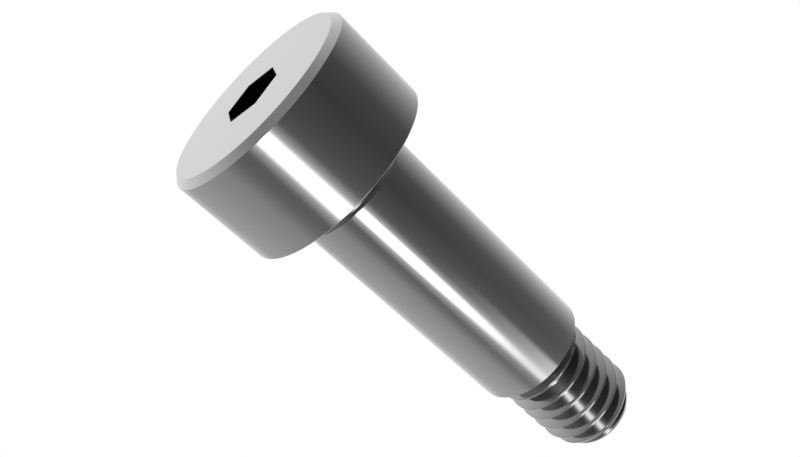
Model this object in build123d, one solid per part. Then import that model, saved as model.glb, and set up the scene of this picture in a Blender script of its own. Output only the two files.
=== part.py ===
from build123d import *

import math
import os

# A shoulder bolt, turned from one bar of steel: a plain round head with a hexagon
# socket, a ground shoulder that a lever or a roller turns on, and a smaller thread
# that screws home until the end of the shoulder seats.
#
# The bolt stands on its head. Its axis is +Z, towards the thread's tip, and the
# origin is the centre of the head's flat face. Millimetres and degrees.

# Head
head_diameter = 15.875          # 5/8 in
head_height = 7.9375            # 5/16 in
head_chamfer = 0.51             # at the outer edge of the flat face, 45 degrees
head_rim_radius = 0.18          # rounded edge beside the shoulder

# Hexagon socket, broached over a drilled hole
socket_across_flats = 4.366     # 11/64 in
socket_depth = 4.4
socket_point_angle = 118.0      # of the drill's point, left at the bottom

# Shoulder
shoulder_diameter = 9.449       # 0.372 in, which runs in a 3/8 in hole
shoulder_length = 22.225        # 7/8 in, from under the head to its far end
relief_length = 1.7             # grinding relief under the head
relief_depth = 0.2
shoulder_end_chamfer = 0.08

# Thread, 5/16-18 UNC
thread_major_diameter = 7.9375  # 5/16 in
thread_pitch = 25.4 / 18
thread_length = 9.525           # 3/8 in, from the shoulder's end to the tip
thread_flank_angle = 60.0       # between the two flanks of a groove
thread_start_angle = 221.0      # where round the axis the cutter begins
neck_length = 0.7               # tool relief between the shoulder and the thread
neck_clearance = 0.12           # by how much the neck is below the thread's root
neck_wall_angle = 20.0          # between the thread's first wall and a square one
tip_clearance = 0.055           # by how much the tip's edge is below the thread's root
tip_chamfer_angle = 30.0        # between the tip's chamfer and the axis

# Proportions of the unified thread form
SHARP_HEIGHT_PER_PITCH = math.sqrt(3) / 2
CREST_FLAT_PER_PITCH = 1 / 8
DEPTH_PER_SHARP_HEIGHT = 17 / 24

# Places along the axis
shoulder_start = head_height
shoulder_end = shoulder_start + shoulder_length
tip = shoulder_end + thread_length

# Radii of the thread
crest_radius = thread_major_diameter / 2
thread_depth = DEPTH_PER_SHARP_HEIGHT * SHARP_HEIGHT_PER_PITCH * thread_pitch
root_radius = crest_radius - thread_depth
neck_radius = root_radius - neck_clearance

# The thread's cutter begins this far before the thread and stands out of the crests
cutter_run_in = 1.25 * thread_pitch
cutter_overshoot = thread_depth / 12


def revolved(outline):
    """Turn an outline of (radius, height) points about the bolt's axis."""
    face = make_face(Polyline([(r, 0, z) for r, z in outline], close=True))
    return revolve(face, Axis.Z, 360)


def turned_blank():
    """The head, the shoulder and the neck as they leave the lathe."""
    head_radius = head_diameter / 2
    shoulder_radius = shoulder_diameter / 2
    relief_radius = shoulder_radius - relief_depth
    relief_end = shoulder_start + relief_length
    neck_end = shoulder_end + neck_length
    blank = revolved([
        (0, 0),
        (head_radius - head_chamfer, 0),
        (head_radius, head_chamfer),
        (head_radius, head_height),
        (relief_radius, shoulder_start),
        (relief_radius, relief_end - relief_depth),
        (shoulder_radius, relief_end),
        (shoulder_radius, shoulder_end - shoulder_end_chamfer),
        (shoulder_radius - shoulder_end_chamfer, shoulder_end),
        (neck_radius, shoulder_end),
        (neck_radius, neck_end),
        (0, neck_end),
    ])
    rim = blank.edges().filter_by(GeomType.CIRCLE).filter_by(
        lambda edge: abs(edge.radius - head_radius) < 1e-6
        and abs(edge.center().Z - head_height) < 1e-6
    )
    return fillet(rim, head_rim_radius)


def hexagon_socket():
    """The broached hexagon and the drill's point below it, as the solid to take out."""
    mouth = RegularPolygon(socket_across_flats / 2, 6, major_radius=False, rotation=30)
    hexagon = extrude(mouth, socket_depth)
    drill_radius = socket_across_flats / 2
    point_height = drill_radius / math.tan(math.radians(socket_point_angle / 2))
    point = revolved([
        (0, socket_depth),
        (drill_radius, socket_depth),
        (0, socket_depth + point_height),
    ])
    return hexagon + point


def one_turn_of_groove():
    """The cutter of one right-hand turn of the groove, starting at height zero."""
    lean = math.tan(math.radians(thread_flank_angle / 2))
    root_half = thread_pitch * (1 - CREST_FLAT_PER_PITCH) / 2 - thread_depth * lean
    cutter_depth = thread_depth + cutter_overshoot
    outside_half = root_half + cutter_depth * lean
    outside = root_radius + cutter_depth
    profile = make_face(Polyline(
        (root_radius, 0, -root_half),
        (outside, 0, -outside_half),
        (outside, 0, outside_half),
        (root_radius, 0, root_half),
        close=True,
    ))
    path = Helix(thread_pitch, thread_pitch, root_radius)
    return Rot(0, 0, thread_start_angle) * sweep(profile, path, is_frenet=True)


def groove_cutters(start, end):
    """A column of one-turn cutters, end to end, that runs past both heights."""
    first = start - cutter_run_in
    turns = math.ceil((end - first) / thread_pitch) + 1
    turn = one_turn_of_groove()
    return [Pos(0, 0, first + count * thread_pitch) * turn for count in range(turns)]


def threaded_end():
    """The thread, from the neck's end to the tip, with both of its ends chamfered."""
    neck_end = shoulder_end + neck_length
    wall_height = (crest_radius - neck_radius) * math.tan(math.radians(neck_wall_angle))
    tip_radius = root_radius - tip_clearance
    chamfer_height = (crest_radius - tip_radius) / math.tan(math.radians(tip_chamfer_angle))
    stud = revolved([
        (0, neck_end),
        (neck_radius, neck_end),
        (crest_radius, neck_end + wall_height),
        (crest_radius, tip - chamfer_height),
        (tip_radius, tip),
        (0, tip),
    ])
    return stud - groove_cutters(neck_end, tip)


def shoulder_bolt():
    """The whole bolt, which is one piece."""
    return turned_blank() - hexagon_socket() + threaded_end()


os.makedirs("parts", exist_ok=True)
export_step(shoulder_bolt(), "parts/shoulder_bolt.step")
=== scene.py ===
"""A shoulder bolt that stands on its head, with its fine surfaces and finishes.

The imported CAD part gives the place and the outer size. The bolt is turned here as one
closed mesh: a lathe profile with its small edge radii, a broached hexagon socket and a
helical thread. Lengths are millimetres until the mesh is made, which is in metres.
"""

import logging
import math
from dataclasses import astuple, dataclass, field
from enum import Enum
from typing import Callable, Sequence

import bmesh
import bpy
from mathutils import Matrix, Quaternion, Vector


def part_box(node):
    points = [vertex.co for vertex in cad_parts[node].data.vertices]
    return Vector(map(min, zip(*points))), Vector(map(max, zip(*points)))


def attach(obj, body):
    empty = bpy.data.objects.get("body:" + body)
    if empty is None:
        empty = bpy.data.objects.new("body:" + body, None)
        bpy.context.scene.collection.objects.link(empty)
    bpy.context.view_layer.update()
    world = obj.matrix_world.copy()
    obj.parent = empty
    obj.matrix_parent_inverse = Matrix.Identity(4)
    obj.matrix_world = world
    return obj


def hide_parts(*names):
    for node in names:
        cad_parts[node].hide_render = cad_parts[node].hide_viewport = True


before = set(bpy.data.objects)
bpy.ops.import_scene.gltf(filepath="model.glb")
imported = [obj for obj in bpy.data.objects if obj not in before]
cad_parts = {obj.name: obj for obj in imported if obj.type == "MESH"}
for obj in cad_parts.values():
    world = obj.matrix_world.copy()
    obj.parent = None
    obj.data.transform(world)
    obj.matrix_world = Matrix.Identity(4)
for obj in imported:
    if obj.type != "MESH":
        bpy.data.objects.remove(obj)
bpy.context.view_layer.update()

NODE = "shoulder_bolt"
BODY = "root"

# Names of the values that a mesh holds at its points
# Roughness and painted shade of the thread's cut
RAGGED_AND_SHADE = "ragged"
BRIGHTNESS = "brightness"

# One millimetre in metres, and lengths in millimetres too small to see
MM = 0.001
TINY = 1e-6
HAIR = 1e-3
WELD = 0.0005

# The unified thread form, as shares of the pitch
CREST_FLAT = 1 / 8
ROOT_FLAT = 1 / 6
THREAD_DEPTH = math.sqrt(3) / 2 * 17 / 24

# (place, value) pairs in rising order, a node's inputs, and a point of a mesh
Chart = tuple[tuple[float, float], ...]
Inputs = dict[str | int, object] | Sequence[object]
Vert = bmesh.types.BMVert

log = logging.getLogger("shoulder_bolt")


# -------- shader maths


class Value:
    """One node socket, with Python's operators standing for Math nodes."""

    def __init__(self, maker: "NodeMaker", socket: bpy.types.NodeSocket) -> None:
        """Wrap an output socket of one maker's nodes."""
        self.maker = maker
        self.socket = socket

    def _math(self, operation: str, *inputs: "Value | float") -> "Value":
        """Add one Math node, whose sockets take the inputs in order."""
        return self.maker.add("ShaderNodeMath", {"operation": operation}, inputs)

    def __add__(self, other: "Value | float") -> "Value":
        """Sum of two values."""
        return self._math("ADD", self, other)

    def __radd__(self, other: float) -> "Value":
        """Sum with a number on the left."""
        return self._math("ADD", other, self)

    def __sub__(self, other: "Value | float") -> "Value":
        """Difference of two values."""
        return self._math("SUBTRACT", self, other)

    def __rsub__(self, other: float) -> "Value":
        """Difference from a number on the left."""
        return self._math("SUBTRACT", other, self)

    def __mul__(self, other: "Value | float") -> "Value":
        """Product of two values."""
        return self._math("MULTIPLY", self, other)

    def __rmul__(self, other: float) -> "Value":
        """Product with a number on the left."""
        return self._math("MULTIPLY", other, self)

    def __truediv__(self, other: "Value | float") -> "Value":
        """Quotient of two values."""
        return self._math("DIVIDE", self, other)

    def __rtruediv__(self, other: float) -> "Value":
        """Quotient of a number on the left."""
        return self._math("DIVIDE", other, self)

    def root(self) -> "Value":
        """Square root of the value."""
        return self._math("SQRT", self)


class NodeMaker:
    """Adds nodes to one material's or world's tree.

    Attributes:
        MIX_COLOUR_INPUTS: Places of a Mix node's factor and its two colours.
        MIX_COLOUR_OUTPUT: Place of its mixed colour.
    """

    MIX_COLOUR_INPUTS = (0, 6, 7)
    MIX_COLOUR_OUTPUT = 2

    def __init__(self, tree: bpy.types.NodeTree) -> None:
        """Empty the tree that is to be filled."""
        self.tree = tree
        tree.nodes.clear()

    def node(
        self,
        kind: str,
        settings: dict[str, object] | None = None,
        inputs: Inputs = (),
    ) -> bpy.types.Node:
        """Add one node of any type.

        Args:
            kind: The node's type.
            settings: Its properties, which are set first.
            inputs: Values or links for its sockets, by name or in order.

        Returns:
            The node.
        """
        made = self.tree.nodes.new(kind)
        for name, value in (settings or {}).items():
            setattr(made, name, value)
        pairs = inputs.items() if isinstance(inputs, dict) else enumerate(inputs)
        for key, value in pairs:
            self.feed(made.inputs[key], value)
        return made

    def add(
        self,
        kind: str,
        settings: dict[str, object] | None = None,
        inputs: Inputs = (),
        output: str | int = 0,
    ) -> Value:
        """Add one node as node() does, and return the output of a name or place."""
        return Value(self, self.node(kind, settings, inputs).outputs[output])

    def feed(self, socket: bpy.types.NodeSocket, value: object) -> None:
        """Give a socket its link or its constant.

        Args:
            socket: The input socket.
            value: A Value, a socket, a number, a colour or a vector.
        """
        if isinstance(value, Value):
            self.tree.links.new(value.socket, socket)
        elif isinstance(value, bpy.types.NodeSocket):
            self.tree.links.new(value, socket)
        else:
            socket.default_value = value

    def cover(self, shader: bpy.types.Node, output: str = "ShaderNodeOutputMaterial") -> None:
        """Lead a shader to the output of its material, or of another kind of tree."""
        self.node(output, {}, {"Surface": shader.outputs[0]})

    def mix(self, share: Value, first: object, second: object) -> Value:
        """Mix two colours by the share of the second one."""
        sockets = dict(zip(self.MIX_COLOUR_INPUTS, (share, first, second)))
        return self.add("ShaderNodeMix", {"data_type": "RGBA"}, sockets, self.MIX_COLOUR_OUTPUT)


def new_material(name: str) -> tuple[bpy.types.Material, NodeMaker]:
    """Make an empty material.

    Args:
        name: Its name.

    Returns:
        The material, and the maker of its nodes.
    """
    made = bpy.data.materials.new(name)
    made.use_nodes = True
    return made, NodeMaker(made.node_tree)


# -------- finishes


class Surface(Enum):
    """The bolt's differently worked surfaces, some with painted shade, in material slot order."""

    FACED = 0
    TURNED = 1
    GROUND = 2
    THREADED = 3
    NECK = 4
    RELIEF = 5
    BROACHED = 6


@dataclass(frozen=True)
class SteelFinish:
    """Bright steel with the fine marks of one way of working it.

    Attributes:
        name: The material's name.
        grey: Linear reflectance of the steel, lowered on some surfaces as painted shade.
        roughness: Mean roughness.
        roughness_swing: How far the marks move the roughness.
        mark_pitch: Distance between two marks, in millimetres.
        mark_depth: Depth of the marks, in millimetres.
        mark_strength: How strongly the marks tilt the light.
        mark_shades: Brightness of a mark's low and high ends, as shares of the grey.
        runout: How much the marks waver round the axis.
        across_radius: True where the marks follow each other along the radius, and
            false where they follow each other along the axis.
        ragged_shade_grey: Linear reflectance where the cut is rough, lowered as painted shade.
        ragged_roughness: Mean roughness where the cut is rough.
    """

    name: str
    grey: float = 0.68
    roughness: float = 0.12
    roughness_swing: float = 0.04
    mark_pitch: float = 0.08
    mark_depth: float = 0.0002
    mark_strength: float = 0.6
    mark_shades: tuple[float, float] = (0.96, 1.02)
    runout: float = 2.0
    across_radius: bool = False
    ragged_shade_grey: float | None = None
    ragged_roughness: float = 0.45

    def material(self) -> bpy.types.Material:
        """Make the material.

        Returns:
            The finished material.
        """
        made, nodes = new_material(self.name)
        marks = self._marks(nodes)
        colour = self._colour(nodes, marks, self.grey)
        roughness = (marks - 0.5) * (2 * self.roughness_swing) + self.roughness
        if self.ragged_shade_grey is not None:
            ragged = nodes.add("ShaderNodeAttribute", {"attribute_name": RAGGED_AND_SHADE}, (), "Fac")
            # A darker grey where the cut is rough: painted shade
            ragged_shade_colour = self._colour(nodes, marks, self.ragged_shade_grey)
            colour = nodes.mix(ragged, colour, ragged_shade_colour)
            roughness = roughness + ragged * (self.ragged_roughness - self.roughness)
        height = nodes.add(
            "ShaderNodeBump",
            {},
            {"Strength": self.mark_strength, "Distance": self.mark_depth * MM, "Height": marks},
        )
        shader = nodes.node(
            "ShaderNodeBsdfPrincipled",
            {},
            {"Base Color": colour, "Metallic": 1.0, "Roughness": roughness, "Normal": height},
        )
        nodes.cover(shader)
        return made

    def _colour(self, nodes: NodeMaker, marks: Value, grey: float) -> Value:
        """Base colour of grey steel, which is a shade darker in its marks."""
        low, high = (grey * shade for shade in self.mark_shades)
        return nodes.mix(marks, (low, low, low, 1.0), (high, high, high, 1.0))

    def _marks(self, nodes: NodeMaker) -> Value:
        """The tool's fine marks, which run round the axis.

        Args:
            nodes: The material's node maker.

        Returns:
            A value from 0 to 1.
        """
        place = nodes.add("ShaderNodeTexCoord", {}, (), "Object")
        split = nodes.node("ShaderNodeSeparateXYZ", {}, [place])
        x, y, z = (Value(nodes, socket) for socket in split.outputs)
        radius = (x * x + y * y).root()
        along = radius if self.across_radius else z
        steps = along / (self.mark_pitch * MM)
        where = nodes.add(
            "ShaderNodeCombineXYZ",
            {},
            [x / radius * self.runout, y / radius * self.runout, steps],
        )
        return nodes.add(
            "ShaderNodeTexNoise",
            {"noise_dimensions": "3D"},
            {"Vector": where, "Scale": 1.0, "Detail": 2.0, "Roughness": 0.6},
        )


@dataclass(frozen=True)
class SocketPaintedShade:
    """Near-black painted shade inside the broached socket, laid on as heat-treatment scale.

    Attributes:
        name: The material's name.
        grey: Linear reflectance, near black as painted shade.
        roughness: Mean roughness.
        roughness_swing: How far the strokes move the roughness.
        gloss: Level of its specular reflection.
        stroke_pitch: Width of the broach's strokes, in millimetres.
        stroke_slimness: A stroke's width as a share of its length.
        stroke_depth: Depth of the strokes, in millimetres.
        stroke_strength: How strongly the strokes tilt the light.
    """

    name: str
    grey: float = 0.004
    roughness: float = 0.6
    roughness_swing: float = 0.1
    gloss: float = 0.1
    stroke_pitch: float = 0.15
    stroke_slimness: float = 0.1
    stroke_depth: float = 0.01
    stroke_strength: float = 0.4

    def material(self) -> bpy.types.Material:
        """Make the material.

        Returns:
            The finished material.
        """
        made, nodes = new_material(self.name)
        place = nodes.add("ShaderNodeTexCoord", {}, (), "Object")
        stretch = 1 / (self.stroke_pitch * MM)
        where = nodes.add(
            "ShaderNodeVectorMath",
            {"operation": "MULTIPLY"},
            [place, (stretch, stretch, stretch * self.stroke_slimness)],
        )
        strokes = nodes.add(
            "ShaderNodeTexNoise", {}, {"Vector": where, "Scale": 1.0, "Detail": 3.0}
        )
        height = nodes.add(
            "ShaderNodeBump",
            {},
            {"Strength": self.stroke_strength, "Distance": self.stroke_depth * MM, "Height": strokes},
        )
        shader = nodes.node(
            "ShaderNodeBsdfPrincipled",
            {},
            {
                "Base Color": (self.grey, self.grey, self.grey, 1.0),
                "Roughness": (strokes - 0.5) * (2 * self.roughness_swing) + self.roughness,
                "Specular IOR Level": self.gloss,
                "Normal": height,
            },
        )
        nodes.cover(shader)
        return made


FINISHES: dict[Surface, SteelFinish | SocketPaintedShade] = {
    Surface.FACED: SteelFinish("faced_steel", across_radius=True),
    Surface.TURNED: SteelFinish("turned_steel"),
    Surface.GROUND: SteelFinish("ground_steel", mark_pitch=0.04, mark_depth=0.0001),
    # The thread's steel is greyer than the shoulder's: painted shade of its grooves
    Surface.THREADED: SteelFinish("threaded_steel", grey=0.48, mark_pitch=0.12, ragged_shade_grey=0.2),
    # Darker steel on the neck and the thread's first wall: painted shade
    Surface.NECK: SteelFinish("grooved_steel", grey=0.42, roughness=0.4, mark_pitch=0.1),
    # Darker steel in the relief under the head: painted shade of its hollow
    Surface.RELIEF: SteelFinish("oily_relief_steel", grey=0.3, roughness=0.2, mark_pitch=0.1),
    # Near-black painted shade inside the socket
    Surface.BROACHED: SocketPaintedShade("broached_scale"),
}


# -------- mesh tools


def clamp(value: float, low: float = 0.0, high: float = 1.0) -> float:
    """Hold a value between two others."""
    return min(max(value, low), high)


def direction(azimuth: float, elevation: float) -> Vector:
    """Unit vector towards a direction.

    Args:
        azimuth: Degrees round the bolt's axis, where 0 looks from the -Y side.
        elevation: Degrees above the horizon.

    Returns:
        The vector.
    """
    turn, rise = math.radians(azimuth), math.radians(elevation)
    flat = math.cos(rise)
    return Vector((math.sin(turn) * flat, -math.cos(turn) * flat, math.sin(rise)))


def between(chart: Chart, at: float) -> float:
    """Read a straight-line chart.

    Args:
        chart: The chart, which stays level past its ends.
        at: Where to read it.

    Returns:
        The value there.
    """
    if at <= chart[0][0]:
        return chart[0][1]
    for (low, before), (high, after) in zip(chart, chart[1:]):
        if at <= high:
            return before + (after - before) * (at - low) / (high - low)
    return chart[-1][1]


@dataclass(frozen=True)
class Corner:
    """One corner of a lathe profile, in millimetres.

    Attributes:
        radius: Distance from the axis.
        height: Place along the axis.
        rounding: Radius of the arc that rounds the corner, or 0 for a sharp one.
    """

    radius: float
    height: float
    rounding: float = 0.0

    def vector(self) -> Vector:
        """The corner as a point of the profile's plane."""
        return Vector((self.radius, self.height))


def rounded(corners: Sequence[Corner], step: float = 15.0, hold: float = 0.03) -> list[Vector]:
    """Points along a profile whose corners are rounded by tangent arcs.

    Args:
        corners: The profile's corners in order. The first and last stay as they are.
        step: Largest turn from one point of an arc to the next, in degrees.
        hold: How far from each arc an extra point lies on the straight, which keeps the
            shading of the flat beside it flat.

    Returns:
        The points.
    """
    points = [corners[0].vector()]
    for before, here, after in zip(corners, corners[1:], corners[2:]):
        corner = here.vector()
        back = (before.vector() - corner).normalized()
        ahead = (after.vector() - corner).normalized()
        turn = math.pi - back.angle(ahead)
        if here.rounding <= 0 or turn < TINY:
            points.append(corner)
            continue
        cut = here.rounding * math.tan(turn / 2)
        centre = corner + (back + ahead).normalized() * (here.rounding / math.cos(turn / 2))
        spoke = corner + back * cut - centre
        sense = 1.0 if back.x * ahead.y - back.y * ahead.x < 0 else -1.0
        count = max(2, math.ceil(math.degrees(turn) / step))
        points.append(corner + back * (cut + hold))
        for place in range(count + 1):
            angle = sense * turn * place / count
            cosine, sine = math.cos(angle), math.sin(angle)
            arm = Vector((spoke.x * cosine - spoke.y * sine, spoke.x * sine + spoke.y * cosine))
            points.append(centre + arm)
        points.append(corner + ahead * (cut + hold))
    points.append(corners[-1].vector())
    return points


@dataclass
class Lathe:
    """Collects rings of points round the axis and joins them into one closed mesh.

    Attributes:
        segments: How many points one ring has.
        bm: The mesh that grows.
        ragged: Layer that holds how rough the cut is at each point, and its painted shade.
    """

    segments: int = 192
    bm: bmesh.types.BMesh = field(default_factory=bmesh.new)
    ragged: bmesh.types.BMLayerItem = field(init=False)

    def __post_init__(self) -> None:
        """Add the layer to the mesh."""
        self.ragged = self.bm.verts.layers.float.new(RAGGED_AND_SHADE)

    def angle(self, place: int) -> float:
        """Angle of one place on a ring, in radians."""
        return math.tau * place / self.segments

    def point(self, radius: float, angle: float, height: float, ragged: float = 0.0) -> Vert:
        """Add one vertex.

        Args:
            radius: Its distance from the axis, in millimetres.
            angle: Where round the axis it is, in radians.
            height: Its place along the axis, in millimetres.
            ragged: Roughness and painted shade of the cut there, from 0 to 1.

        Returns:
            The vertex.
        """
        where = (radius * math.cos(angle), radius * math.sin(angle), height)
        made = self.bm.verts.new(Vector(where) * MM)
        made[self.ragged] = ragged
        return made

    def ring(self, height: float, radius: Callable[[float], float]) -> list[Vert]:
        """Add one ring, whose distance from the axis is a function of the angle."""
        angles = [self.angle(place) for place in range(self.segments)]
        return [self.point(radius(angle), angle, height) for angle in angles]

    def join(self, low: Sequence[Vert], high: Sequence[Vert], surface: Surface) -> None:
        """Join two rings by a band of faces.

        Args:
            low: The first ring.
            high: The ring after it along the profile.
            surface: The finish of the band.
        """
        for place in range(self.segments):
            after = (place + 1) % self.segments
            self.face([low[place], low[after], high[after], high[place]], surface)

    def face(self, corners: Sequence[Vert], surface: Surface) -> None:
        """Add one face with a finish."""
        self.bm.faces.new(corners).material_index = surface.value

    def cap(self, ring: Sequence[Vert], height: float, surface: Surface) -> None:
        """Close a ring towards a point on the axis.

        Args:
            ring: The ring to close.
            height: The point's place along the axis.
            surface: The finish of the faces.
        """
        tip = self.point(0.0, 0.0, height)
        for place in range(self.segments):
            self.face([ring[place], ring[(place + 1) % self.segments], tip], surface)

    def turn(self, points: Sequence[Vector], surface: Callable[[float], Surface]) -> None:
        """Turn a profile into bands.

        Args:
            points: The profile's points.
            surface: The finish as a function of the height.
        """
        rings = [self.ring(p.y, lambda _angle, r=p.x: r) for p in points]
        for place in range(len(rings) - 1):
            middle = (points[place].y + points[place + 1].y) / 2
            self.join(rings[place], rings[place + 1], surface(middle))

    def mesh(self, name: str, sharp_angle: float) -> bpy.types.Mesh:
        """Close the seams and make the mesh.

        Args:
            name: The mesh's name.
            sharp_angle: Edges that turn by more than this many degrees shade sharp.

        Returns:
            The mesh.
        """
        bmesh.ops.remove_doubles(self.bm, verts=self.bm.verts[:], dist=WELD * MM)
        loose = [vert for vert in self.bm.verts if not vert.link_faces]
        bmesh.ops.delete(self.bm, geom=loose, context="VERTS")
        bmesh.ops.recalc_face_normals(self.bm, faces=self.bm.faces[:])
        made = bpy.data.meshes.new(name)
        self.bm.to_mesh(made)
        self.bm.free()
        made.shade_smooth()
        made.set_sharp_from_angle(angle=math.radians(sharp_angle))
        return made


# -------- the bolt


@dataclass(frozen=True)
class Socket:
    """The broached hexagon in the head's flat face.

    Attributes:
        across_flats: Width between two opposite flats.
        depth: Depth of the flats.
        point_angle: Angle of the drill's point at the bottom.
        lip: Radius of the edge at the mouth.
        lip_bulge: How far the lip's middle lies inside its sharp corner, as a share of lip.
        shelf: How much smaller the drilled hole is than the hexagon, on the radius.
    """

    across_flats: float = 4.366
    depth: float = 4.4
    point_angle: float = 118.0
    lip: float = 0.03
    lip_bulge: float = 0.3
    shelf: float = 0.02

    def outline(self, grow: float) -> Callable[[float], float]:
        """The hexagon, grown by a distance, as a radius for each angle.

        Args:
            grow: How far its flats move outwards.

        Returns:
            The function.
        """
        sixth = math.tau / 6
        apothem = self.across_flats / 2 + grow

        def radius(angle: float) -> float:
            """Distance from the axis to the hexagon at one angle."""
            return apothem / math.cos((angle + sixth / 2) % sixth - sixth / 2)

        return radius

    def build(self, lathe: Lathe) -> list[Vert]:
        """Make the socket's surfaces.

        Args:
            lathe: The mesh to add to.

        Returns:
            The ring round its mouth, on the head's face.
        """
        drill = self.across_flats / 2 - self.shelf
        bottom = self.depth + drill / math.tan(math.radians(self.point_angle / 2))
        mouth = lathe.ring(0.0, self.outline(self.lip))
        inset = self.lip * self.lip_bulge
        edge = lathe.ring(inset, self.outline(inset))
        top = lathe.ring(self.lip, self.outline(0.0))
        foot = lathe.ring(self.depth, self.outline(0.0))
        hole = lathe.ring(self.depth, lambda _angle: drill)
        lathe.join(mouth, edge, Surface.FACED)
        lathe.join(edge, top, Surface.FACED)
        # The socket's walls, shelf and bottom take the near-black painted shade
        lathe.join(top, foot, Surface.BROACHED)
        lathe.join(foot, hole, Surface.BROACHED)
        lathe.cap(hole, bottom, Surface.BROACHED)
        return mouth


@dataclass(frozen=True)
class Head:
    """The plain round head, which the bolt stands on.

    Attributes:
        radius: Half of its diameter.
        height: From its flat face to its underside.
        chamfer: Width of the bevel round the flat face.
        chamfer_angle: Between the bevel and the flat face, in degrees.
        edge: Radius of the edges beside the bevel.
        rim: Radius of the edge beside the shoulder.
        face_rings: Where the flat face has rings, as shares of the way from the socket's
            mouth to its outer edge.
        socket: The hexagon in its face.
    """

    radius: float
    height: float = 7.9375
    chamfer: float = 0.51
    chamfer_angle: float = 45.0
    edge: float = 0.04
    rim: float = 0.08
    face_rings: tuple[float, ...] = (0.01, 0.25, 0.5, 0.75, 0.99, 1.0)
    socket: Socket = Socket()

    @property
    def bevel_start(self) -> float:
        """Radius at which the bevel would begin if its edge were sharp."""
        return self.radius - self.chamfer

    @property
    def face_radius(self) -> float:
        """Radius of the flat face, up to the rounded edge."""
        return self.bevel_start - self.edge * math.tan(math.radians(self.chamfer_angle / 2))

    def build_face(self, lathe: Lathe) -> None:
        """Make the socket, and the flat face between its mouth and the bevel.

        Args:
            lathe: The mesh to add to.
        """
        inner = self.socket.build(lathe)
        hexagon = self.socket.outline(self.socket.lip)
        reach = self.face_radius
        for share in self.face_rings:
            outer = lathe.ring(0.0, lambda a, s=share: hexagon(a) * (1 - s) + reach * s)
            lathe.join(inner, outer, Surface.FACED)
            inner = outer

    def corners(self) -> list[Corner]:
        """The head's profile, from its flat face to its underside.

        Returns:
            Its corners in order.
        """
        return [
            Corner(self.bevel_start / 2, 0.0),
            Corner(self.bevel_start, 0.0, self.edge),
            Corner(self.radius, self.chamfer, self.edge),
            Corner(self.radius, self.height, self.rim),
        ]


@dataclass(frozen=True)
class Shoulder:
    """The ground shoulder with the relief under the head.

    Attributes:
        start: Height at which it leaves the head.
        radius: Half of its diameter.
        length: From the head's underside to its far end.
        relief_length: Length of the grinding relief.
        relief_depth: Depth of the relief.
        root: Radius of the fillet under the head.
        edge: Radius of its edges.
        end_chamfer: Width of the bevel at its far end.
    """

    start: float
    radius: float = 4.7245
    length: float = 22.225
    relief_length: float = 1.65
    relief_depth: float = 0.2
    root: float = 0.12
    edge: float = 0.02
    end_chamfer: float = 0.08

    @property
    def end(self) -> float:
        """Height of its far end."""
        return self.start + self.length

    def corners(self) -> list[Corner]:
        """The shoulder's profile, from the head's underside to its end face.

        Returns:
            Its corners in order.
        """
        relief = self.radius - self.relief_depth
        relief_end = self.start + self.relief_length
        return [
            Corner(relief, self.start, self.root),
            Corner(relief, relief_end - self.relief_depth, self.edge),
            Corner(self.radius, relief_end, self.edge),
            Corner(self.radius, self.end - self.end_chamfer, self.edge),
            Corner(self.radius - self.end_chamfer, self.end, self.edge),
        ]


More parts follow.
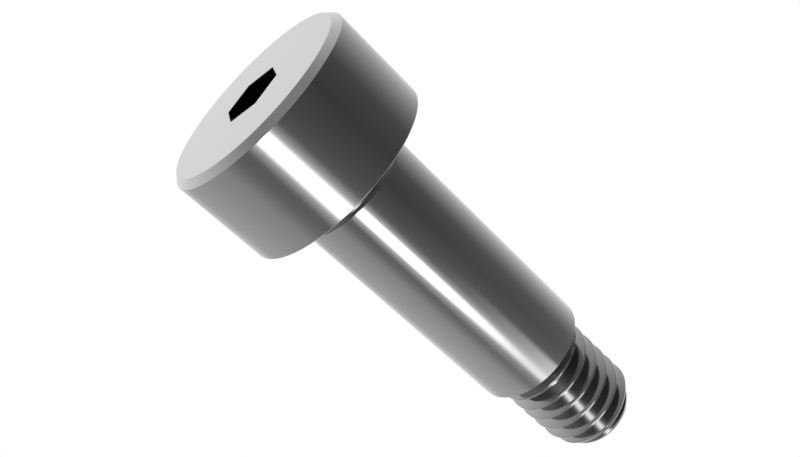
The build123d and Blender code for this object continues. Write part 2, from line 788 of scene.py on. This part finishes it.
@dataclass(frozen=True)
class ThreadedEnd:
    """The neck and the right-hand thread with its chamfered tip.

    Attributes:
        start: Height of the shoulder's end.
        tip: Height of the tip's flat.
        major: Major diameter.
        pitch: Distance from one crest to the next.
        start_angle: Where round the axis the groove begins, in degrees.
        run_in: How far before the thread the groove begins, in pitches.
        neck_length: Length of the tool relief beside the shoulder.
        neck_clearance: How far the neck is below the thread's root.
        neck_wall_angle: Lean of the thread's first wall, in degrees.
        neck_root: Radius of the fillet beside the shoulder.
        tip_clearance: How far the tip's edge is below the thread's root.
        tip_chamfer_angle: Between the tip's chamfer and the axis, in degrees.
        crest_edge: Radius of the edges of a crest.
        root_edge: Radius of the edges of a root.
        flank_steps: Number of bands on one flank.
        spare_turns: Turns of the groove that the neck and the tip cut off.
        wall_skin: How near to the turned wall a face counts as part of it.
        ragged: (turn, level) pairs, for the roughness and painted shade of the groove's start and
            end.
        ragged_and_shade_flank: Where the rough flank with painted shade lies, in pitches from a
            groove's middle.
        tip_rings: Where the tip's flat has rings, as shares of its radius.
    """

    start: float
    tip: float
    major: float = 7.9375
    pitch: float = 25.4 / 18
    start_angle: float = 221.0
    run_in: float = 1.25
    neck_length: float = 0.7
    neck_clearance: float = 0.12
    neck_wall_angle: float = 20.0
    neck_root: float = 0.1
    tip_clearance: float = 0.055
    tip_chamfer_angle: float = 30.0
    crest_edge: float = 0.03
    root_edge: float = 0.12
    flank_steps: int = 8
    spare_turns: int = 3
    wall_skin: float = 0.02
    ragged: Chart = ((3.92, 1.0), (4.54, 0.0), (7.95, 0.0), (8.5, 1.0))
    ragged_and_shade_flank: tuple[float, float] = (-0.43, 0.02)
    tip_rings: tuple[float, ...] = (1.0, 0.97, 0.5, 0.05)

    @property
    def crest(self) -> float:
        """Radius of the crests."""
        return self.major / 2

    @property
    def root(self) -> float:
        """Radius of the roots, by the unified thread form."""
        return self.crest - self.pitch * THREAD_DEPTH

    @property
    def neck(self) -> float:
        """Radius of the neck."""
        return self.root - self.neck_clearance

    @property
    def neck_end(self) -> float:
        """Height at which the thread begins."""
        return self.start + self.neck_length

    @property
    def wall_end(self) -> float:
        """Height at which the wall beside the neck reaches the crests."""
        lean = math.tan(math.radians(self.neck_wall_angle))
        return self.neck_end + (self.crest - self.neck) * lean

    def corners(self) -> list[Corner]:
        """The neck's profile, from the shoulder's end face to the thread."""
        return [Corner(self.neck, self.start, self.neck_root), Corner(self.neck, self.neck_end)]

    def envelope(self, height: float) -> float:
        """Radius of the turned blank that the thread is cut in.

        Args:
            height: Place along the axis.

        Returns:
            The radius there.
        """
        rise = (height - self.neck_end) / math.tan(math.radians(self.neck_wall_angle))
        fall = (self.tip - height) * math.tan(math.radians(self.tip_chamfer_angle))
        return min(self.neck + rise, self.root - self.tip_clearance + fall, self.crest)

    def groove(self) -> list[Vector]:
        """One pitch of the thread's section, from one groove's middle to the next.

        Returns:
            Points of (radius, distance along the axis).
        """
        crest_half = self.pitch * CREST_FLAT / 2
        root_half = self.pitch * ROOT_FLAT / 2
        middle = self.pitch / 2
        section = rounded(
            [
                Corner(self.root, 0.0),
                Corner(self.root, root_half, self.root_edge),
                Corner(self.crest, middle - crest_half, self.crest_edge),
                Corner(self.crest, middle + crest_half, self.crest_edge),
                Corner(self.root, self.pitch - root_half, self.root_edge),
                Corner(self.root, self.pitch),
            ],
            hold=0.01,
        )
        longest = self.pitch / 2 / self.flank_steps
        points: list[Vector] = []
        for here, after in zip(section, section[1:]):
            pieces = max(1, math.ceil((after.y - here.y) / longest))
            points += [here.lerp(after, piece / pieces) for piece in range(pieces)]
        return points

    def build(self, lathe: Lathe) -> None:
        """Make the thread as rows that follow its helix, and the tip's flat.

        Args:
            lathe: The mesh to add to.
        """
        section = self.groove()
        turns = math.ceil((self.tip - self.neck_end) / self.pitch) + self.spare_turns
        angles = [lathe.angle(place) for place in range(lathe.segments)]
        columns = [self.column(lathe, section, angle, turns) for angle in angles]
        # The column that closes the round meets the first one a pitch further on
        columns.append(columns[0][len(section) :])
        for here, after in zip(columns, columns[1:]):
            for row in range(turns * len(section) - 1):
                corners = [here[row], after[row], after[row + 1], here[row + 1]]
                lathe.face(corners, self.surface_at(corners))
        self.close_tip(lathe)

    def column(
        self, lathe: Lathe, section: Sequence[Vector], angle: float, turns: int
    ) -> list[Vert]:
        """Add the points of every turn of the groove at one place round the axis.

        Args:
            lathe: The mesh to add to.
            section: One pitch of the thread's section.
            angle: Where round the axis they are, in radians.
            turns: How many turns follow each other.

        Returns:
            The points, from the neck to the tip.
        """
        lead = (angle - math.radians(self.start_angle)) / math.tau - self.run_in - 1
        points = []
        for turn in range(turns + 1):
            for across in section:
                height = self.neck_end + (lead + turn) * self.pitch + across.y
                height = clamp(height, self.neck_end, self.tip)
                radius = min(across.x, self.envelope(height))
                ragged = self.ragged_and_shade_level(turn + across.y / self.pitch, angle)
                points.append(lathe.point(radius, angle, height, ragged))
        return points

    def surface_at(self, corners: Sequence[Vert]) -> Surface:
        """The finish of one face, which on the turned wall beside the neck is the neck's painted
        shade.

        Args:
            corners: The face's vertices.

        Returns:
            The finish.
        """
        middle = sum((corner.co for corner in corners), Vector()) / len(corners) / MM
        depth = self.envelope(middle.z) - middle.xy.length
        on_wall = middle.z < self.wall_end and depth < self.wall_skin
        return Surface.NECK if on_wall else Surface.THREADED

    def ragged_and_shade_level(self, place: float, angle: float) -> float:
        """How rough the cut is, with its painted shade, which it is only on the flanks that face the
        tip.

        Args:
            place: Grooves passed by this point of the section.
            angle: Where round the axis it is, in radians.

        Returns:
            A value from 0 to 1.
        """
        groove = round(place)
        begins, ends = self.ragged_and_shade_flank
        if not begins < place - groove < ends:
            return 0.0
        return between(self.ragged, groove + angle / math.tau)

    def close_tip(self, lathe: Lathe) -> None:
        """Make the flat at the tip.

        Args:
            lathe: The mesh to add to.
        """
        edge = self.envelope(self.tip)
        rings = [lathe.ring(self.tip, lambda _a, r=edge * s: r) for s in self.tip_rings]
        for outer, inner in zip(rings, rings[1:]):
            lathe.join(outer, inner, Surface.FACED)
        lathe.cap(rings[-1], self.tip, Surface.FACED)


@dataclass(frozen=True)
class ShoulderBolt:
    """The whole bolt, which is one piece of steel.

    Attributes:
        head: Its head.
        shoulder: Its shoulder.
        thread: Its threaded end.
        sharp_angle: Edges that turn by more than this many degrees shade sharp.
    """

    head: Head
    shoulder: Shoulder
    thread: ThreadedEnd
    sharp_angle: float = 32.0

    @classmethod
    def from_frame(cls) -> "ShoulderBolt":
        """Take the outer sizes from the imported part.

        Returns:
            The bolt.
        """
        low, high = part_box(NODE)
        head = Head(radius=min(high.x, high.y, -low.x, -low.y) / MM)
        shoulder = Shoulder(start=head.height)
        thread = ThreadedEnd(start=shoulder.end, tip=high.z / MM)
        return cls(head, shoulder, thread)

    def surface_at(self, height: float) -> Surface:
        """The finish of the turned profile at a height.

        Args:
            height: Place along the axis.

        Returns:
            The finish.
        """
        ends = (
            (self.head.chamfer, Surface.FACED),
            (self.head.height, Surface.TURNED),
            (self.head.height + TINY, Surface.FACED),
            # The relief under the head takes darker steel as painted shade
            (self.shoulder.start + self.shoulder.relief_length, Surface.RELIEF),
            (self.shoulder.end - HAIR, Surface.GROUND),
            # The neck takes darker steel as painted shade
            (math.inf, Surface.NECK),
        )
        return next(surface for end, surface in ends if height < end)

    def build(self) -> bpy.types.Object:
        """Make the bolt's mesh and dress it.

        Returns:
            The finished object.
        """
        lathe = Lathe()
        self.head.build_face(lathe)
        corners = self.head.corners() + self.shoulder.corners() + self.thread.corners()
        face = self.head.face_radius - HAIR
        outside = [point for point in rounded(corners) if point.x >= face or point.y > HAIR]
        lathe.turn(outside, self.surface_at)
        self.thread.build(lathe)
        mesh = lathe.mesh(NODE + "_mesh", self.sharp_angle)
        made = bpy.data.objects.new("turned_shoulder_bolt", mesh)
        for surface in Surface:
            made.data.materials.append(FINISHES[surface].material())
        bpy.context.scene.collection.objects.link(made)
        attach(made, BODY)
        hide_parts(NODE)
        return made


# -------- the studio


def set_up(name: str, bm: bmesh.types.BMesh, material: bpy.types.Material) -> bpy.types.Object:
    """Put a piece of the studio in its place, where it isn't part of the bolt.

    Args:
        name: The piece's name.
        bm: Its mesh, which is used up.
        material: What it is made of.

    Returns:
        The piece.
    """
    mesh = bpy.data.meshes.new(name)
    bm.to_mesh(mesh)
    bm.free()
    mesh.materials.append(material)
    made = bpy.data.objects.new(name, mesh)
    bpy.context.scene.collection.objects.link(made)
    return made


@dataclass(frozen=True)
class Floor:
    """A pale floor that fades to white and can be seen through from below.

    Attributes:
        reach: Radius of the floor, in millimetres.
        drop: How far the floor lies below the head's face, in millimetres.
        grey: Linear reflectance of the floor beside the bolt.
        fade_start: Distance from the bolt at which the floor begins to turn white.
        fade_end: Distance at which it is white.
    """

    reach: float = 2000.0
    drop: float = 0.02
    grey: float = 0.8
    fade_start: float = 60.0
    fade_end: float = 400.0

    def build(self) -> bpy.types.Object:
        """Make the floor.

        Returns:
            The floor.
        """
        bm = bmesh.new()
        bmesh.ops.create_circle(bm, cap_ends=True, segments=96, radius=self.reach * MM)
        bmesh.ops.translate(bm, verts=bm.verts[:], vec=(0, 0, -self.drop * MM))
        made = set_up("floor", bm, self.material())
        made.visible_glossy = False
        return made

    def material(self) -> bpy.types.Material:
        """Matt and pale from above, clear from below.

        Returns:
            The finished material.
        """
        made, nodes = new_material("floor_paper")
        place = nodes.add("ShaderNodeTexCoord", {}, (), "Object")
        distance = nodes.add("ShaderNodeVectorMath", {"operation": "LENGTH"}, [place], "Value")
        fade = nodes.add(
            "ShaderNodeMapRange",
            {"interpolation_type": "SMOOTHSTEP"},
            {
                "Value": distance,
                "From Min": self.fade_start * MM,
                "From Max": self.fade_end * MM,
                "To Min": self.grey,
                "To Max": 1.0,
            },
        )
        paper = nodes.node("ShaderNodeBsdfDiffuse", {}, {"Color": fade})
        clear = nodes.node("ShaderNodeBsdfTransparent")
        underside = nodes.add("ShaderNodeNewGeometry", {}, (), "Backfacing")
        shader = nodes.node(
            "ShaderNodeMixShader", {}, [underside, paper.outputs[0], clear.outputs[0]]
        )
        nodes.cover(shader)
        return made


@dataclass(frozen=True)
class Station:
    """A lamp's width and brightness at one height.

    Attributes:
        elevation: The height, in degrees above the horizon.
        left: Middle of its left edge, in degrees from the camera's azimuth.
        right: Middle of its right edge.
        fade: Width over which an edge fades, in degrees.
        brightness: Its brightness, where a white page has 1.
    """

    elevation: float
    left: float
    right: float
    fade: float
    brightness: float

    def toward(self, other: "Station", elevation: float) -> "Station":
        """The lamp's section between this height and another.

        Args:
            other: The next height.
            elevation: Where to take the section, in degrees above the horizon.

        Returns:
            The section there.
        """
        share = (elevation - self.elevation) / (other.elevation - self.elevation)
        pairs = zip(astuple(self), astuple(other))
        return Station(*(here + (there - here) * share for here, there in pairs))

    def level(self, azimuth: float) -> float:
        """What the lamp adds at this height in one direction."""
        inside = min(azimuth - self.left, self.right - azimuth)
        return self.brightness * clamp(inside / self.fade + 0.5)


@dataclass(frozen=True)
class Lamp:
    """A soft-edged lamp that hangs in the light tent.

    Attributes:
        stations: Its sections, from the lowest to the highest.
    """

    stations: tuple[Station, ...]

    @classmethod
    def of_rows(cls, *rows: tuple[float, ...]) -> "Lamp":
        """A lamp from rows of elevation, left edge, right edge, fade and brightness."""
        return cls(tuple(Station(*row) for row in rows))

    def level(self, azimuth: float, elevation: float) -> float:
        """What it adds in one direction.

        Args:
            azimuth: The direction, in degrees from the camera's azimuth.
            elevation: The direction, in degrees above the horizon.

        Returns:
            The added brightness.
        """
        for low, high in zip(self.stations, self.stations[1:]):
            if low.elevation <= elevation < high.elevation:
                return low.toward(high, elevation).level(azimuth)
        return 0.0


STRIP_LAMP = Lamp.of_rows(
    (-45.0, 17.5, 27.0, 7.0, 2.0),
    (8.0, 17.3, 28.3, 7.0, 3.0),
    (18.0, 16.8, 29.3, 7.0, 3.0),
    (25.0, 15.7, 30.4, 7.0, 3.0),
    (29.0, 15.2, 30.0, 7.0, 2.2),
    (35.0, 15.0, 28.5, 8.0, 0.42),
    (40.0, 15.0, 28.5, 8.0, 0.0),
)
STRIP_GLOW = Lamp.of_rows(
    (-45.0, 10.0, 35.0, 10.0, 0.4),
    (8.0, 10.0, 35.0, 12.0, 0.42),
    (25.0, 8.5, 38.0, 14.0, 0.5),
    (35.0, 8.5, 40.0, 14.0, 0.2),
    (40.0, 8.5, 40.0, 14.0, 0.0),
)
TOP_LAMP = Lamp.of_rows(
    (29.0, -13.5, 29.0, 9.0, 0.0),
    (32.5, -13.5, 29.0, 9.0, 0.12),
    (36.0, -13.5, 29.0, 9.0, 0.3),
    (39.5, -13.5, 29.0, 9.0, 1.1),
    (47.0, -13.5, 29.0, 9.0, 1.1),
    (58.0, -13.5, 29.0, 9.0, 0.0),
)


@dataclass(frozen=True)
class Cloth:
    """Plain cloth that is brighter behind the bolt than on the camera's side.

    Attributes:
        least: Brightness that it nowhere falls below.
        mean: Brightness beside the bolt.
        behind: What is added straight behind the bolt.
        aside: What is added at the right of the bolt.
    """

    least: float
    mean: float
    behind: float
    aside: float

    def level(self, toward: Vector) -> float:
        """Brightness in one direction, given as seen from the camera's azimuth."""
        shade = self.mean + self.behind * toward.y + self.aside * toward.x
        return max(self.least, shade)


@dataclass(frozen=True)
class LightTent:
    """A tent of soft light round the bolt, which only its steel reflects.

    Its wall is dark on the camera's side and grows brighter to the back, and its lower
    half is as pale as the floor.

    Attributes:
        facing: Azimuth of the camera, in degrees.
        radius: Radius of the tent, in millimetres.
        step: Angle between two points of its mesh, in degrees.
        wall: (degrees from the camera's azimuth, brightness) pairs in rising order.
        draw_in: (degrees above the horizon, how much narrower the dark side is) pairs.
        contrast: (degrees above the horizon, power of the wall's brightness) pairs.
        haze: (degrees above the horizon, brightness added to the wall) pairs.
        crown_share: (degrees above the horizon, share of the tent's top) pairs.
        crown: The cloth of its top.
        skirt_depth: (degrees either way from the camera's azimuth, degrees below the
            horizon at which the lower half takes over) pairs.
        skirt_fade: Height over which the lower half takes over, in degrees.
        skirt: The cloth of its lower half.
        lamps: The lamps that hang in it.
    """

    facing: float
    radius: float = 5000.0
    step: float = 2.0
    wall: Chart = (
        (-180.0, 0.88), (-156.0, 0.72), (-120.0, 0.37), (-96.0, 0.17), (-81.0, 0.09),
        (-48.0, 0.065), (-12.0, 0.1), (6.0, 0.14), (48.0, 0.15), (56.0, 0.18),
        (72.0, 0.32), (108.0, 0.42), (132.0, 0.47), (156.0, 0.7), (180.0, 0.88),
    )
    draw_in: Chart = ((12.0, 0.952), (44.0, 1.08))
    contrast: Chart = ((36.0, 1.0), (41.0, 0.64))
    haze: Chart = ((16.0, -0.012), (24.0, 0.0), (36.0, 0.04))
    crown_share: Chart = ((44.0, 0.0), (64.0, 1.0))
    crown: Cloth = Cloth(least=0.05, mean=0.36, behind=0.55, aside=0.0)
    skirt_depth: Chart = ((90.0, 45.0), (130.0, -4.0))
    skirt_fade: float = 14.0
    skirt: Cloth = Cloth(least=0.27, mean=0.34, behind=0.54, aside=0.08)
    lamps: tuple[Lamp, ...] = (STRIP_LAMP, STRIP_GLOW, TOP_LAMP)

    def level(self, azimuth: float, elevation: float) -> float:
        """Brightness of the tent in one direction.

        Args:
            azimuth: The direction, in degrees from the camera's azimuth.
            elevation: The direction, in degrees above the horizon.

        Returns:
            The brightness there.
        """
        toward = direction(azimuth, elevation)
        wall = between(self.wall, azimuth * between(self.draw_in, elevation))
        wall = wall ** between(self.contrast, elevation) + between(self.haze, elevation)
        share = between(self.crown_share, elevation)
        upper = wall * (1 - share) + self.crown.level(toward) * share
        upper += sum(lamp.level(azimuth, elevation) for lamp in self.lamps)
        depth = -elevation - between(self.skirt_depth, abs(azimuth))
        share = clamp(depth / self.skirt_fade + 0.5)
        return upper * (1 - share) + self.skirt.level(toward) * share

    def build(self) -> bpy.types.Object:
        """Make the tent as one sphere of points that hold their brightness.

        Returns:
            The tent.
        """
        bm = bmesh.new()
        across, upwards = round(360 / self.step), round(180 / self.step)
        reach = self.radius * MM
        bmesh.ops.create_uvsphere(bm, u_segments=across, v_segments=upwards, radius=reach)
        layer = bm.verts.layers.float.new(BRIGHTNESS)
        for vert in bm.verts:
            azimuth = math.degrees(math.atan2(vert.co.x, -vert.co.y))
            elevation = math.degrees(math.atan2(vert.co.z, vert.co.xy.length))
            vert[layer] = self.level(azimuth, elevation)
        made = set_up("light_tent", bm, self.material())
        made.rotation_euler.z = math.radians(self.facing)
        made.visible_camera = False
        made.visible_diffuse = False
        made.visible_shadow = False
        return made

    def material(self) -> bpy.types.Material:
        """Cloth of the brightness that each point holds.

        Returns:
            The finished material.
        """
        made, nodes = new_material("tent_cloth")
        made.cycles.emission_sampling = "NONE"
        shade = nodes.add("ShaderNodeAttribute", {"attribute_name": BRIGHTNESS}, (), "Color")
        shader = nodes.node("ShaderNodeEmission", {}, {"Color": shade, "Strength": 1.0})
        nodes.cover(shader)
        return made


@dataclass(frozen=True)
class StudioCamera:
    """The camera, which looks up at the head's face.

    Attributes:
        aim: The point that it looks at, in millimetres.
        azimuth: Where it stands round that point, in degrees.
        elevation: Its height above the horizon, in degrees.
        distance: From the point that it looks at, in millimetres.
        roll: Turn about its own line of sight, in degrees.
        lens: Focal length, in millimetres.
        sensor: Width of the sensor, in millimetres.
        clip: Nearest and furthest distance that it sees, in metres.
    """

    aim: tuple[float, float, float] = (-0.114, 0.013, 14.769)
    azimuth: float = -6.685
    elevation: float = -24.514
    distance: float = 69.635
    roll: float = 132.71
    lens: float = 42.547
    sensor: float = 36.0
    clip: tuple[float, float] = (0.005, 20.0)

    def build(self) -> bpy.types.Object:
        """Make the camera and give it to the scene.

        Returns:
            The camera.
        """
        data = bpy.data.cameras.new("camera")
        data.lens = self.lens
        data.sensor_width = self.sensor
        data.clip_start, data.clip_end = self.clip
        made = bpy.data.objects.new("camera", data)
        back = direction(self.azimuth, self.elevation)
        made.location = (Vector(self.aim) + back * self.distance) * MM
        made.rotation_mode = "QUATERNION"
        level = (-back).to_track_quat("-Z", "Y")
        made.rotation_quaternion = level @ Quaternion((0, 0, 1), math.radians(self.roll))
        bpy.context.scene.collection.objects.link(made)
        bpy.context.scene.camera = made
        return made


def make_world() -> None:
    """An even white surround, which is also the background."""
    world = bpy.data.worlds.new("white_studio")
    world.use_nodes = True
    nodes = NodeMaker(world.node_tree)
    white = nodes.node("ShaderNodeBackground", {}, {"Color": (1, 1, 1, 1), "Strength": 1.0})
    nodes.cover(white, "ShaderNodeOutputWorld")
    bpy.context.scene.world = world


def main() -> None:
    """Build the bolt, its studio and the camera."""
    logging.basicConfig(level=logging.INFO, format="%(name)s: %(message)s")
    bpy.context.scene.view_settings.view_transform = "Standard"
    make_world()
    camera = StudioCamera()
    bolt = ShoulderBolt.from_frame()
    made = bolt.build()
    log.info("%s: %d faces", made.name, len(made.data.polygons))
    for part in (Floor(), LightTent(camera.azimuth)):
        log.info("%s", part.build().name)
    log.info("%s", camera.build().name)


if __name__ == "__main__":
    main()
